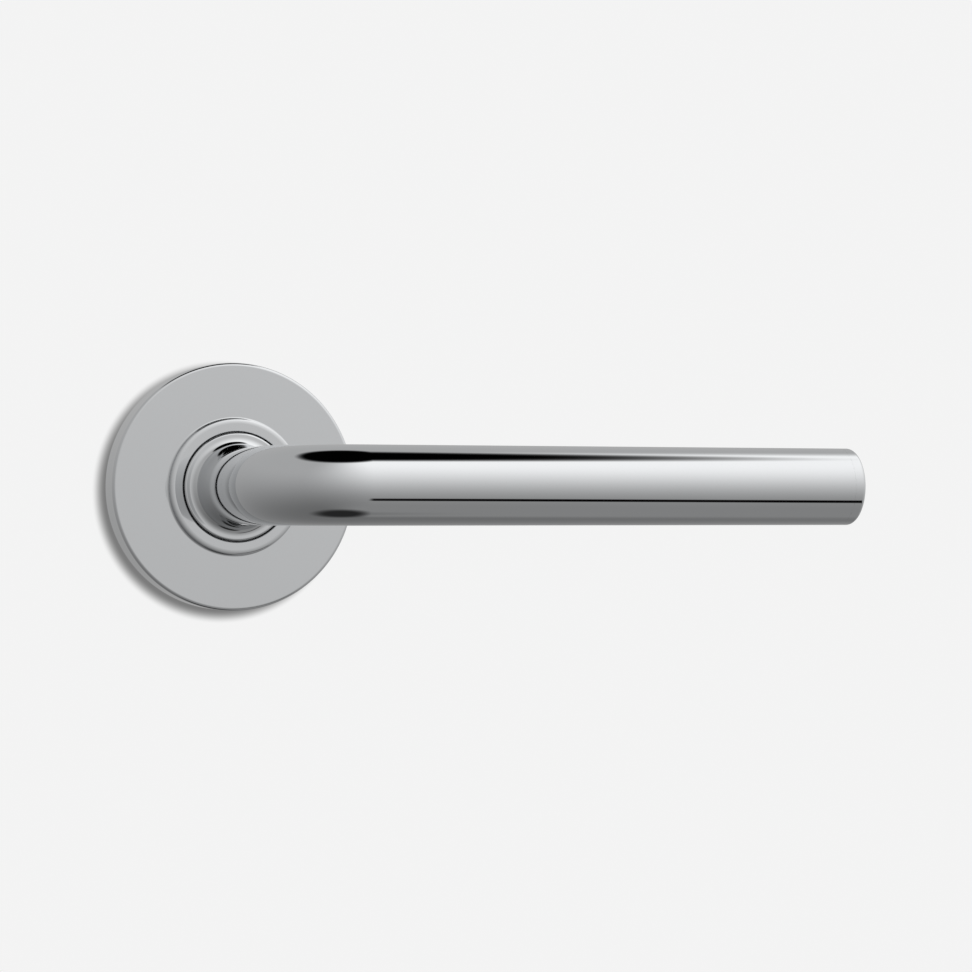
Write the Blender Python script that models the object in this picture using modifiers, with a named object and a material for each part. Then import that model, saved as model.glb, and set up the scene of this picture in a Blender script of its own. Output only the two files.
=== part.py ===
"""A door lever handle on a round rose, with the sprung plate, spindle and fixings behind it.

In the world the origin is on the turn axis in the plane of the door's face. +Y runs into the door, the bar of
the lever points along +X, and +Z is up. Each piece is drawn in a frame whose z is its depth out of the door:
z = 0 is the door's face, positive z is the room, and negative z is inside the door. Three empties carry that
frame, one for each body: the fixed base, the lever that turns, and the cover that slides off along the neck.
"""

import math

import bmesh
import bpy
from mathutils import Matrix

MM = 0.001

# The space left between pieces that touch or run in each other.
GAP = 0.3 * MM

# The lever: a round bar on a straight neck, joined by one bend.
BAR_RADIUS = 8.0 * MM
BAR_WALL = 2.0 * MM
BAR_DEPTH = 49.5 * MM
BAR_END = 121.5 * MM
BEND_RADIUS = 15.0 * MM
CAP_THICKNESS = 2.5 * MM
CAP_PLUG_LENGTH = 7.0 * MM
CAP_EDGE = 0.9 * MM

# The hub: spigot, neck, cove, flange, journal and tail, on the turn axis.
SPIGOT_TOP = 33.5 * MM
SPIGOT_RADIUS = BAR_RADIUS - BAR_WALL - GAP
SPIGOT_CHAMFER = 0.5 * MM
HUB_TOP = 27.0 * MM
COVE_TOP = 12.5 * MM
COVE_FOOT_RADIUS = 10.3 * MM
FLANGE_RADIUS = 11.3 * MM
FLANGE_FRONT = 9.3 * MM
FLANGE_BACK = 6.9 * MM
FLANGE_EDGE = 0.4 * MM
JOURNAL_RADIUS = 7.6 * MM
TAIL_TOP = 1.3 * MM
TAIL_RADIUS = 7.2 * MM
TAIL_HALF_FLAT = 6.5 * MM
TAIL_END = -2.6 * MM
CLIP_GROOVE_RADIUS = 6.6 * MM

# The square spindle and the screw that clamps it.
SPINDLE_WIDTH = 7.9 * MM
SPINDLE_FRONT = 25.4 * MM
SPINDLE_BACK = -62.0 * MM
SPINDLE_EDGE = 0.5 * MM
SOCKET_WIDTH = SPINDLE_WIDTH + 2 * GAP
SOCKET_TOP = SPINDLE_FRONT + 2 * GAP
GRUB_RADIUS = 2.5 * MM
GRUB_DEPTH = 20.5 * MM
GRUB_OUTER = 7.7 * MM
GRUB_CHAMFER = 0.4 * MM
HEX_ACROSS_FLATS = 2.5 * MM
HEX_DEPTH = 1.9 * MM

# The rose: a pressed cover with a raised ring round the flange.
ROSE_RADIUS = 26.0 * MM
ROSE_FACE = 7.0 * MM
ROSE_EDGE = 0.7 * MM
ROSE_WALL = 1.0 * MM
RING_RADIUS = 14.2 * MM
RING_FACE = 8.9 * MM
RING_EDGE = 1.0 * MM
RING_EDGE_DROP = 0.4 * MM
RING_FILLET = 0.4 * MM
RING_BORE = FLANGE_RADIUS + GAP
BORE_EDGE = 0.4 * MM

# The plate that is fixed to the door.
PLATE_RADIUS = 24.3 * MM
PLATE_FRONT = ROSE_FACE - ROSE_WALL - GAP
PLATE_CHAMFER = 0.4 * MM
WEB_BACK = 4.8 * MM
POCKET_RADIUS = 14.5 * MM
BOSS_RADIUS = 10.0 * MM
BOSS_BORE = 9.0 * MM
BOSS_BACK = 1.3 * MM
GRIP_DEPTH = 3.0 * MM
GRIP_RADIUS = 24.0 * MM
GRIP_SECTION = 0.75 * MM
GRIP_GROOVE_RADIUS = GRIP_RADIUS - GRIP_SECTION - 0.25 * MM
GRIP_GROOVE_HALF = GRIP_SECTION + 0.25 * MM

# The turn and its stops. Angles are seen from the room, counter-clockwise from the bar.
TURN = math.radians(50.0)
EAR_ANGLE = math.radians(115.0)
EAR_HALF = math.radians(7.0)
EAR_PLAY = math.radians(1.0)
EAR_RADIUS = 16.2 * MM
EAR_SLOT_RADIUS = EAR_RADIUS + 0.4 * MM

# The driver plate, its tab, and the torsion spring round the boss.
DRIVER_RADIUS = 14.1 * MM
DRIVER_FRONT = 1.0 * MM
DRIVER_BACK = 0.2 * MM
TAB_INNER = 12.1 * MM
TAB_OUTER = 13.9 * MM
TAB_HALF_WIDTH = 1.1 * MM
TAB_FRONT = 4.2 * MM
WIRE_RADIUS = 0.7 * MM
COIL_RADIUS = 11.0 * MM
COIL_TURNS = 1.25
COIL_BACK = 2.0 * MM
COIL_RISE = 1.85 * MM
COIL_STEPS = round(32 * COIL_TURNS)
LEG_INNER = COIL_RADIUS + 1.4 * MM
LEG_OUTER = 13.7 * MM
LEG_OFFSET = WIRE_RADIUS + TAB_HALF_WIDTH + GAP
POST_INNER = 12.1 * MM
POST_HALF_WIDTH = 1.1 * MM

# Washers, bush and retaining ring.
SLIP = 0.1 * MM
BUSH_INNER = JOURNAL_RADIUS + GAP
BUSH_OUTER = BOSS_BORE - GAP
THRUST_OUTER = 10.8 * MM
BACK_WASHER_OUTER = 9.4 * MM
BACK_WASHER_FRONT = DRIVER_BACK - GAP
BACK_WASHER_THICKNESS = 0.4 * MM
CLIP_FRONT = BACK_WASHER_FRONT - BACK_WASHER_THICKNESS - GAP
CLIP_THICKNESS = 0.8 * MM
CLIP_INNER = CLIP_GROOVE_RADIUS + GAP
CLIP_OUTER = 8.6 * MM
CLIP_LUG_OUTER = 9.9 * MM
CLIP_GAP_HALF = math.radians(16.0)
CLIP_LUG_SPAN = math.radians(16.0)
CLIP_HOLE_RADIUS = 0.6 * MM

# Fixings: two bolts with sleeves through the door, and four wood screws.
BOLT_CENTRES = 38.0 * MM
BOLT_RADIUS = 1.95 * MM
BOLT_END = -40.0 * MM
BOLT_HEAD_RADIUS = 3.6 * MM
BOLT_HEAD_BACK = 3.3 * MM
BOLT_HEAD_FRONT = 5.4 * MM
BOLT_HEAD_DOME = 0.7 * MM
BOLT_CROWN_RADIUS = 2.5 * MM
BOLT_TIP = 0.6 * MM
DOOR_THICKNESS = 44.0 * MM
SLEEVE_START = -18.0 * MM
SLEEVE_RADIUS = 3.4 * MM
SLEEVE_HEAD_RADIUS = 4.8 * MM
SLEEVE_HEAD_THICKNESS = 1.5 * MM
SLEEVE_HEAD_FACE = -DOOR_THICKNESS
SLEEVE_BORE_END = -42.5 * MM
SLEEVE_CHAMFER = 0.5 * MM
SCREW_CIRCLE = 20.0 * MM
SCREW_ANGLES = (38.0, 142.0, 218.0, 322.0)
SCREW_RADIUS = 1.6 * MM
SCREW_HEAD_RADIUS = 3.0 * MM
SCREW_HEAD_FRONT = 5.4 * MM
SCREW_HEAD_HEIGHT = 2.0 * MM
SCREW_HEAD_RIM = 0.3 * MM
SCREW_POINT_START = -16.0 * MM
SCREW_END = -21.0 * MM
SLOT_WIDTH = 0.9 * MM
SLOT_DEPTH = 1.1 * MM
SLOT_REACH = 1.9 * MM

# How finely the round pieces are cut.
WIDE_SIDES = 64
HUB_SIDES = 40
BAR_SIDES = 32
SMALL_SIDES = 20
GRIP_SIDES = 48
GRIP_SECTION_SIDES = 8
WIRE_SIDES = 8
DRIVER_STEPS = 44
CLIP_STEPS = 30
BEND_STEPS = 10
CUT_MARGIN = 1.0 * MM
MERGE = 0.00001
SHARP_ANGLE = math.radians(32.0)

# Colour, roughness and metallic value of each finish.
FINISHES = {
    "chrome": ((0.66, 0.67, 0.68), 0.05, 1.0),
    "steel": ((0.52, 0.52, 0.51), 0.28, 1.0),
    "spring_steel": ((0.36, 0.35, 0.34), 0.32, 1.0),
    "black_steel": ((0.05, 0.05, 0.055), 0.4, 1.0),
    "zinc_plate": ((0.62, 0.64, 0.66), 0.3, 1.0),
    "zinc_casting": ((0.42, 0.43, 0.44), 0.48, 1.0),
    "brass": ((0.72, 0.53, 0.24), 0.3, 1.0),
    "nylon": ((0.78, 0.76, 0.7), 0.5, 0.0),
    "rubber": ((0.02, 0.02, 0.022), 0.7, 0.0),
}


def clear_scene():
    for obj in list(bpy.data.objects):
        bpy.data.objects.remove(obj, do_unlink=True)


def new_collection(name):
    made = bpy.data.collections.new(name)
    bpy.context.scene.collection.children.link(made)
    return made


clear_scene()
PARTS = new_collection("door_lever_handle")
CUTTERS = new_collection("cutters")
CUTTERS.hide_render = True


def new_frame(name):
    """An empty on the turn axis whose z points out of the door."""
    frame = bpy.data.objects.new(name, None)
    frame.empty_display_size = 10 * MM
    frame.rotation_euler = (math.pi / 2, 0.0, 0.0)
    PARTS.objects.link(frame)
    return frame


def finish_piece(obj, finish, frame):
    """Gives a piece its own material and hangs it on its body's frame."""
    colour, roughness, metallic = FINISHES[finish]
    made = bpy.data.materials.new(obj.name)
    made.use_nodes = True
    shader = made.node_tree.nodes["Principled BSDF"]
    shader.inputs["Base Color"].default_value = (*colour, 1.0)
    shader.inputs["Roughness"].default_value = roughness
    shader.inputs["Metallic"].default_value = metallic
    made.diffuse_color = (*colour, 1.0)
    obj.data.materials.clear()
    obj.data.materials.append(made)
    obj.parent = frame
    return obj


def link(obj):
    PARTS.objects.link(obj)
    return obj


def settle(obj):
    """Turns the modifiers into plain faces, smooth except across sharp edges."""
    bpy.context.view_layer.update()
    graph = bpy.context.evaluated_depsgraph_get()
    mesh = bpy.data.meshes.new_from_object(obj.evaluated_get(graph))
    mesh.name = obj.name
    obj.modifiers.clear()
    obj.data = mesh
    mesh.shade_smooth()
    mesh.set_sharp_from_angle(angle=SHARP_ANGLE)
    return obj


def mesh_from_curve(obj):
    """Replaces a curve object by a mesh object of the same name and place, with its caps welded."""
    bpy.context.view_layer.update()
    graph = bpy.context.evaluated_depsgraph_get()
    mesh = bpy.data.meshes.new_from_object(obj.evaluated_get(graph))
    name, place = obj.name, obj.matrix_world.copy()
    bpy.data.objects.remove(obj, do_unlink=True)
    shape = bmesh.new()
    shape.from_mesh(mesh)
    bmesh.ops.remove_doubles(shape, verts=shape.verts, dist=MERGE)
    bmesh.ops.recalc_face_normals(shape, faces=shape.faces)
    shape.to_mesh(mesh)
    shape.free()
    mesh.name = name
    made = bpy.data.objects.new(name, mesh)
    made.matrix_world = place
    return link(made)


def arc(centre_radius, centre_height, wide, tall, start, end, steps):
    """Points of a round or oval rounding in a turned outline. Angles are in degrees, 0 outwards and 90 up."""
    angles = [math.radians(start + (end - start) * i / steps) for i in range(steps + 1)]
    return [(centre_radius + wide * math.cos(a), centre_height + tall * math.sin(a)) for a in angles]


def turned(name, outline, sides, ring=False):
    """A piece turned about z from its (radius, height) outline, which runs down the outer side."""
    points = [(radius, 0.0, height) for radius, height in outline]
    edges = [(i, i + 1) for i in range(len(points) - 1)]
    if ring:
        edges.append((len(points) - 1, 0))
    mesh = bpy.data.meshes.new(name)
    mesh.from_pydata(points, edges, [])
    obj = link(bpy.data.objects.new(name, mesh))
    screw = obj.modifiers.new("turn", "SCREW")
    screw.axis = "Z"
    screw.angle = 2 * math.pi
    screw.steps = sides
    screw.render_steps = sides
    screw.use_merge_vertices = True
    screw.merge_threshold = MERGE
    return settle(obj)


def washer(name, inner, outer, back, front, sides):
    outline = [(inner, front), (outer, front), (outer, back), (inner, back)]
    return turned(name, outline, sides, ring=True)


def cutter(name, shape):
    """Keeps a bmesh as a hidden cutting tool."""
    mesh = bpy.data.meshes.new(name)
    shape.to_mesh(mesh)
    shape.free()
    tool = bpy.data.objects.new(name, mesh)
    tool.hide_render = True
    tool.display_type = "WIRE"
    CUTTERS.objects.link(tool)
    return tool


def round_cutter(name, bottom_radius, top_radius, bottom, top, at=(0.0, 0.0), sides=SMALL_SIDES):
    """A cylinder or cone along z between two heights."""
    shape = bmesh.new()
    place = Matrix.Translation((at[0], at[1], (bottom + top) / 2))
    bmesh.ops.create_cone(
        shape,
        cap_ends=True,
        segments=sides,
        radius1=bottom_radius,
        radius2=top_radius,
        depth=top - bottom,
        matrix=place,
    )
    return cutter(name, shape)


def box_cutter(name, low, high, spin=0.0):
    """A box between two corners, then turned about z."""
    shape = bmesh.new()
    size = [h - l for l, h in zip(low, high)]
    middle = [(h + l) / 2 for l, h in zip(low, high)]
    place = Matrix.Rotation(spin, 4, "Z") @ Matrix.Translation(middle) @ Matrix.Diagonal((*size, 1.0))
    bmesh.ops.create_cube(shape, size=1.0, matrix=place)
    return cutter(name, shape)


def combine(obj, tools, operation="DIFFERENCE"):
    """Cuts tools out of a piece, or joins them to it."""
    for tool in tools:
        step = obj.modifiers.new(tool.name, "BOOLEAN")
        step.operation = operation
        step.solver = "EXACT"
        step.object = tool
    return settle(obj)


def outline_plate(name, loops, back, front):
    """A flat plate between two heights from closed (x, y) loops. Loops after the first are holes in it."""
    curve = bpy.data.curves.new(name, "CURVE")
    curve.dimensions = "2D"
    curve.fill_mode = "BOTH"
    curve.extrude = (front - back) / 2
    for loop in loops:
        spline = curve.splines.new("POLY")
        spline.points.add(len(loop) - 1)
        for point, (x, y) in zip(spline.points, loop):
            point.co = (x, y, 0.0, 1.0)
        spline.use_cyclic_u = True
    obj = link(bpy.data.objects.new(name, curve))
    obj.location.z = (front + back) / 2
    return mesh_from_curve(obj)


def swept(name, route, radius, sides, caps=True):
    """A round tube or wire along a route of points."""
    curve = bpy.data.curves.new(name, "CURVE")
    curve.dimensions = "3D"
    curve.bevel_depth = radius
    curve.bevel_resolution = (sides - 4) // 2
    curve.use_fill_caps = caps
    spline = curve.splines.new("POLY")
    spline.points.add(len(route) - 1)
    for point, place in zip(spline.points, route):
        point.co = (*place, 1.0)
    return mesh_from_curve(link(bpy.data.objects.new(name, curve)))


def polar(radius, angle):
    return (radius * math.cos(angle), radius * math.sin(angle))


def circle_points(radius, start, end, steps, centre=(0.0, 0.0)):
    """Points on a circle from one angle to another, both ends included."""
    angles = [start + (end - start) * i / steps for i in range(steps + 1)]
    return [(centre[0] + radius * math.cos(a), centre[1] + radius * math.sin(a)) for a in angles]


def make_lever_tube(frame):
    """The hollow bar: up the neck from the hub, round the bend, and out to the end cap."""
    bend_start = BAR_DEPTH - BEND_RADIUS
    route = [(0.0, 0.0, HUB_TOP + GAP)]
    for i in range(BEND_STEPS + 1):
        a = math.pi / 2 * i / BEND_STEPS
        route.append((BEND_RADIUS * (1 - math.cos(a)), 0.0, bend_start + BEND_RADIUS * math.sin(a)))
    route.append((BAR_END - CAP_THICKNESS - GAP, 0.0, BAR_DEPTH))
    tube = swept("lever_tube", route, BAR_RADIUS, BAR_SIDES, caps=False)
    wall = tube.modifiers.new("wall", "SOLIDIFY")
    wall.thickness = BAR_WALL
    wall.offset = -1.0
    return finish_piece(settle(tube), "chrome", frame)


def make_lever_end_cap(frame):
    """The flat end of the bar, with a plug that is pressed into the tube."""
    outline = [(0.0, CAP_THICKNESS)]
    outline += arc(BAR_RADIUS - CAP_EDGE, CAP_THICKNESS - CAP_EDGE, CAP_EDGE, CAP_EDGE, 90, 0, 3)
    outline += [(BAR_RADIUS, 0.0), (SPIGOT_RADIUS, 0.0)]
    outline += [(SPIGOT_RADIUS, -CAP_PLUG_LENGTH), (0.0, -CAP_PLUG_LENGTH)]
    cap = turned("lever_end_cap", outline, BAR_SIDES)
    cap.location = (BAR_END - CAP_THICKNESS, 0.0, BAR_DEPTH)
    cap.rotation_euler = (0.0, math.pi / 2, 0.0)
    return finish_piece(cap, "chrome", frame)


def make_neck_hub(frame):
    """The turned hub: spigot for the tube, neck, cove, flange, journal and a tail with two flats."""
    cove_wide, cove_tall = COVE_FOOT_RADIUS - BAR_RADIUS, COVE_TOP - FLANGE_FRONT
    groove_front = CLIP_FRONT + SLIP
    groove_back = CLIP_FRONT - CLIP_THICKNESS - SLIP
    outline = [(0.0, SPIGOT_TOP), (SPIGOT_RADIUS - SPIGOT_CHAMFER, SPIGOT_TOP)]
    outline += [(SPIGOT_RADIUS, SPIGOT_TOP - SPIGOT_CHAMFER), (SPIGOT_RADIUS, HUB_TOP), (BAR_RADIUS, HUB_TOP)]
    outline += arc(COVE_FOOT_RADIUS, COVE_TOP, cove_wide, cove_tall, 180, 270, 6)
    edge = FLANGE_EDGE
    outline += arc(FLANGE_RADIUS - edge, FLANGE_FRONT - edge, edge, edge, 90, 0, 3)
    outline += [(FLANGE_RADIUS, FLANGE_BACK), (JOURNAL_RADIUS, FLANGE_BACK)]
    outline += [(JOURNAL_RADIUS, TAIL_TOP), (TAIL_RADIUS, TAIL_TOP)]
    outline += [(TAIL_RADIUS, groove_front), (CLIP_GROOVE_RADIUS, groove_front)]
    outline += [(CLIP_GROOVE_RADIUS, groove_back), (TAIL_RADIUS, groove_back)]
    outline += [(TAIL_RADIUS, TAIL_END), (0.0, TAIL_END)]
    hub = turned("neck_hub", outline, HUB_SIDES)
    half = SOCKET_WIDTH / 2
    below = TAIL_END - CUT_MARGIN
    socket = box_cutter("spindle_socket", (-half, -half, below), (half, half, SOCKET_TOP))
    tools = [socket, grub_hole_cutter()]
    side = TAIL_RADIUS + CUT_MARGIN
    for name, low, high in (("flat_above", TAIL_HALF_FLAT, side), ("flat_below", -side, -TAIL_HALF_FLAT)):
        tools.append(box_cutter(name, (-side, low, below), (side, high, TAIL_TOP)))
    return finish_piece(combine(hub, tools), "chrome", frame)


def grub_hole_cutter():
    """The hole for the grub screw, from the underside of the neck to the socket."""
    tool = round_cutter("grub_hole", GRUB_RADIUS + GAP, GRUB_RADIUS + GAP, 0.0, BAR_RADIUS + CUT_MARGIN)
    tool.location = (0.0, 0.0, GRUB_DEPTH)
    tool.rotation_euler = (math.pi / 2, 0.0, 0.0)
    return tool


def make_grub_screw(frame):
    """A cup-ended set screw with a hexagon socket, its axis square to the spindle."""
    inner = SPINDLE_WIDTH / 2 + GAP
    narrow = GRUB_RADIUS - GRUB_CHAMFER
    outline = [(0.0, GRUB_OUTER), (narrow, GRUB_OUTER), (GRUB_RADIUS, GRUB_OUTER - GRUB_CHAMFER)]
    outline += [(GRUB_RADIUS, inner + GRUB_CHAMFER), (narrow, inner), (0.0, inner)]
    screw = turned("grub_screw", outline, SMALL_SIDES)
    across_corners = HEX_ACROSS_FLATS / math.sqrt(3)
    bottom = GRUB_OUTER - HEX_DEPTH
    top = GRUB_OUTER + CUT_MARGIN
    hexagon = round_cutter("hex_socket", across_corners, across_corners, bottom, top, sides=6)
    combine(screw, [hexagon])
    screw.location = (0.0, 0.0, GRUB_DEPTH)
    screw.rotation_euler = (math.pi / 2, 0.0, 0.0)
    return finish_piece(screw, "black_steel", frame)


def make_spindle(frame):
    """The square bar that turns the lock, with its long edges and ends broken."""
    shape = bmesh.new()
    size = (SPINDLE_WIDTH, SPINDLE_WIDTH, SPINDLE_FRONT - SPINDLE_BACK)
    bmesh.ops.create_cube(shape, size=1.0, matrix=Matrix.Diagonal((*size, 1.0)))
    mesh = bpy.data.meshes.new("spindle")
    shape.to_mesh(mesh)
    shape.free()
    spindle = link(bpy.data.objects.new("spindle", mesh))
    edges = spindle.modifiers.new("edges", "BEVEL")
    edges.width = SPINDLE_EDGE
    edges.segments = 1
    spindle.location.z = (SPINDLE_FRONT + SPINDLE_BACK) / 2
    return finish_piece(settle(spindle), "zinc_plate", frame)


def two_flat_loop(radius, half_flat, steps):
    """A circle with its top and bottom cut off flat."""
    corner = math.asin(half_flat / radius)
    right = circle_points(radius, -corner, corner, steps)
    left = circle_points(radius, math.pi - corner, math.pi + corner, steps)
    return right + left


def make_spring_driver(frame):
    """The steel plate keyed on the hub's tail. Its ear meets the stops and its tab winds the spring."""
    ear = circle_points(EAR_RADIUS, EAR_ANGLE - EAR_HALF, EAR_ANGLE + EAR_HALF, 3)
    rest_end = EAR_ANGLE - EAR_HALF + 2 * math.pi
    rest = circle_points(DRIVER_RADIUS, EAR_ANGLE + EAR_HALF, rest_end, DRIVER_STEPS)
    hole = two_flat_loop(TAIL_RADIUS + GAP, TAIL_HALF_FLAT + GAP, 10)
    driver = outline_plate("spring_driver", [ear + rest, hole], DRIVER_BACK, DRIVER_FRONT)
    low = (TAB_INNER, -TAB_HALF_WIDTH, DRIVER_BACK + GAP)
    high = (TAB_OUTER, TAB_HALF_WIDTH, TAB_FRONT)
    tab = box_cutter("driver_tab", low, high, spin=EAR_ANGLE)
    return finish_piece(combine(driver, [tab], "UNION"), "steel", frame)


def spring_leg_angles():
    """Where the spring's two legs lie: against the driver's tab, and against the plate's post."""
    tab_leg = EAR_ANGLE - math.asin(LEG_OFFSET / TAB_INNER)
    return tab_leg, tab_leg + 2 * math.pi * COIL_TURNS


def make_return_spring(frame):
    """A torsion spring round the plate's boss, with a leg on the plate's post and one on the driver's tab."""
    tab_leg, post_leg = spring_leg_angles()
    route = [(*polar(LEG_OUTER, post_leg), COIL_BACK), (*polar(LEG_INNER, post_leg), COIL_BACK)]
    for i in range(COIL_STEPS + 1):
        share = i / COIL_STEPS
        angle = post_leg + (tab_leg - post_leg) * share
        route.append((*polar(COIL_RADIUS, angle), COIL_BACK + COIL_RISE * share))
    top = COIL_BACK + COIL_RISE
    route += [(*polar(LEG_INNER, tab_leg), top), (*polar(LEG_OUTER, tab_leg), top)]
    spring = swept("return_spring", route, WIRE_RADIUS, WIRE_SIDES)
    return finish_piece(settle(spring), "spring_steel", frame)


def make_circlip(frame):
    """The retaining ring in the groove of the hub's tail, open at the bottom between two drilled lugs."""
    opening = math.radians(270.0)
    start = opening + CLIP_GAP_HALF
    end = opening - CLIP_GAP_HALF + 2 * math.pi
    lug_end = start + CLIP_LUG_SPAN
    far_lug = end - CLIP_LUG_SPAN
    loop = circle_points(CLIP_LUG_OUTER, start, lug_end, 3)
    loop += circle_points(CLIP_OUTER, lug_end, far_lug, CLIP_STEPS)
    loop += circle_points(CLIP_LUG_OUTER, far_lug, end, 3)
    loop += circle_points(CLIP_INNER, end, start, CLIP_STEPS)
    loops = [loop]
    hole_circle = (CLIP_INNER + CLIP_LUG_OUTER) / 2
    for angle in (start + CLIP_LUG_SPAN / 2, end - CLIP_LUG_SPAN / 2):
        turn = math.pi / 4
        loops.append(circle_points(CLIP_HOLE_RADIUS, 0.0, 2 * math.pi - turn, 7, polar(hole_circle, angle)))
    clip = outline_plate("circlip", loops, CLIP_FRONT - CLIP_THICKNESS, CLIP_FRONT)
    return finish_piece(settle(clip), "spring_steel", frame)


def make_back_washer(frame):
    back = BACK_WASHER_FRONT - BACK_WASHER_THICKNESS
    piece = washer("back_washer", TAIL_RADIUS + GAP, BACK_WASHER_OUTER, back, BACK_WASHER_FRONT, HUB_SIDES)
    return finish_piece(piece, "steel", frame)


def make_rose_cover(frame):
    """The pressed cover: rim, face, raised ring and bore, one wall thick all over."""
    inner_ring = RING_RADIUS - ROSE_WALL
    outline = arc(RING_BORE + BORE_EDGE, RING_FACE - BORE_EDGE, BORE_EDGE, BORE_EDGE, 180, 90, 2)
    outline += arc(RING_RADIUS - RING_EDGE, RING_FACE - RING_EDGE_DROP, RING_EDGE, RING_EDGE_DROP, 90, 0, 4)
    outline += arc(RING_RADIUS + RING_FILLET, ROSE_FACE + RING_FILLET, RING_FILLET, RING_FILLET, 180, 270, 2)
    outline += arc(ROSE_RADIUS - ROSE_EDGE, ROSE_FACE - ROSE_EDGE, ROSE_EDGE, ROSE_EDGE, 90, 0, 3)
    outline += [(ROSE_RADIUS, 0.0), (ROSE_RADIUS - ROSE_WALL, 0.0)]
    outline += [(ROSE_RADIUS - ROSE_WALL, ROSE_FACE - ROSE_WALL), (inner_ring, ROSE_FACE - ROSE_WALL)]
    outline += [(inner_ring, RING_FACE - ROSE_WALL), (RING_BORE, RING_FACE - ROSE_WALL)]
    return finish_piece(turned("rose_cover", outline, WIDE_SIDES, ring=True), "chrome", frame)


def stop_slot_loop():
    """The part of the driver's recess that its ear swings in. Its two ends are the lever's stops."""
    rest_end = EAR_ANGLE + EAR_HALF + EAR_PLAY
    turned_end = EAR_ANGLE - EAR_HALF - TURN - EAR_PLAY
    outer = circle_points(EAR_SLOT_RADIUS, turned_end, rest_end, 10)
    inner = circle_points(POCKET_RADIUS - CUT_MARGIN, rest_end, turned_end, 10)
    return outer + inner


def make_mounting_plate(frame):
    """The casting screwed to the door: rim, web and boss, with a spring pocket open at the back."""
    groove_front = GRIP_DEPTH + GRIP_GROOVE_HALF
    groove_back = GRIP_DEPTH - GRIP_GROOVE_HALF
    outline = [(BOSS_BORE, PLATE_FRONT), (PLATE_RADIUS - PLATE_CHAMFER, PLATE_FRONT)]
    outline += [(PLATE_RADIUS, PLATE_FRONT - PLATE_CHAMFER), (PLATE_RADIUS, groove_front)]
    outline += [(GRIP_GROOVE_RADIUS, groove_front), (GRIP_GROOVE_RADIUS, groove_back)]
    outline += [(PLATE_RADIUS, groove_back), (PLATE_RADIUS, 0.0), (POCKET_RADIUS, 0.0)]
    outline += [(POCKET_RADIUS, WEB_BACK), (BOSS_RADIUS, WEB_BACK)]
    outline += [(BOSS_RADIUS, BOSS_BACK), (BOSS_BORE, BOSS_BACK)]
    plate = turned("mounting_plate", outline, WIDE_SIDES, ring=True)
    combine(plate, [spring_post()], "UNION")
    slot = outline_plate("stop_slot", [stop_slot_loop()], -CUT_MARGIN, BOSS_BACK)
    slot.hide_render = True
    slot.display_type = "WIRE"
    PARTS.objects.unlink(slot)
    CUTTERS.objects.link(slot)
    tools = [slot] + bolt_hole_cutters() + screw_hole_cutters()
    return finish_piece(combine(plate, tools), "zinc_casting", frame)


def spring_post():
    """The cast post that holds the spring's fixed leg, on the side the spring pulls towards."""
    _, post_leg = spring_leg_angles()
    clearance = WIRE_RADIUS + POST_HALF_WIDTH + GAP
    spin = post_leg - math.asin(clearance / POST_INNER)
    low = (POST_INNER, -POST_HALF_WIDTH, BOSS_BACK)
    high = (POCKET_RADIUS + CUT_MARGIN, POST_HALF_WIDTH, WEB_BACK + GAP)
    return box_cutter("spring_post", low, high, spin=spin)


def bolt_hole_cutters():
    tools = []
    front = PLATE_FRONT + CUT_MARGIN
    for side in (-1, 1):
        at = (side * BOLT_CENTRES / 2, 0.0)
        hole = BOLT_RADIUS + GAP
        tools.append(round_cutter("bolt_hole", hole, hole, -CUT_MARGIN, front, at))
        seat = BOLT_HEAD_RADIUS + GAP
        tools.append(round_cutter("bolt_seat", seat, seat, BOLT_HEAD_BACK - GAP, front, at))
    return tools


def screw_hole_cutters():
    tools = []
    slope = (SCREW_HEAD_RADIUS - SCREW_RADIUS) / SCREW_HEAD_HEIGHT
    seat_front = PLATE_FRONT + CUT_MARGIN
    hole = SCREW_RADIUS + GAP
    narrow = hole - GAP
    seat_back = SCREW_HEAD_FRONT - SCREW_HEAD_HEIGHT - GAP / slope
    wide = narrow + slope * (seat_front - seat_back)
    for angle in SCREW_ANGLES:
        at = polar(SCREW_CIRCLE, math.radians(angle))
        tools.append(round_cutter("screw_hole", hole, hole, -CUT_MARGIN, seat_front, at))
        tools.append(round_cutter("screw_seat", narrow, wide, seat_back, seat_front, at))
    return tools


def make_bearing_bush(frame):
    back = BOSS_BACK + SLIP
    front = PLATE_FRONT - SLIP
    bush = washer("bearing_bush", BUSH_INNER, BUSH_OUTER, back, front, HUB_SIDES)
    return finish_piece(bush, "nylon", frame)


def make_thrust_washer(frame):
    back = PLATE_FRONT + GAP
    front = FLANGE_BACK - GAP
    ring = washer("thrust_washer", BUSH_INNER, THRUST_OUTER, back, front, HUB_SIDES)
    return finish_piece(ring, "brass", frame)


def make_cover_grip_ring(frame):
    """The rubber ring in the plate's groove that the cover is pushed over."""
    steps = GRIP_SECTION_SIDES
    outline = arc(GRIP_RADIUS, GRIP_DEPTH, GRIP_SECTION, GRIP_SECTION, 90, -270 + 360 / steps, steps - 1)
    return finish_piece(turned("cover_grip_ring", outline, GRIP_SIDES, ring=True), "rubber", frame)


def cross_recess(name, front):
    """Two crossed slots for a screwdriver, in a head whose top is at this height."""
    long, short = SLOT_REACH, SLOT_WIDTH / 2
    bottom, top = front - SLOT_DEPTH, front + CUT_MARGIN
    first = box_cutter(name + "_slot_1", (-long, -short, bottom), (long, short, top))
    second = box_cutter(name + "_slot_2", (-short, -long, bottom), (short, long, top))
    return [first, second]


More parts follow.
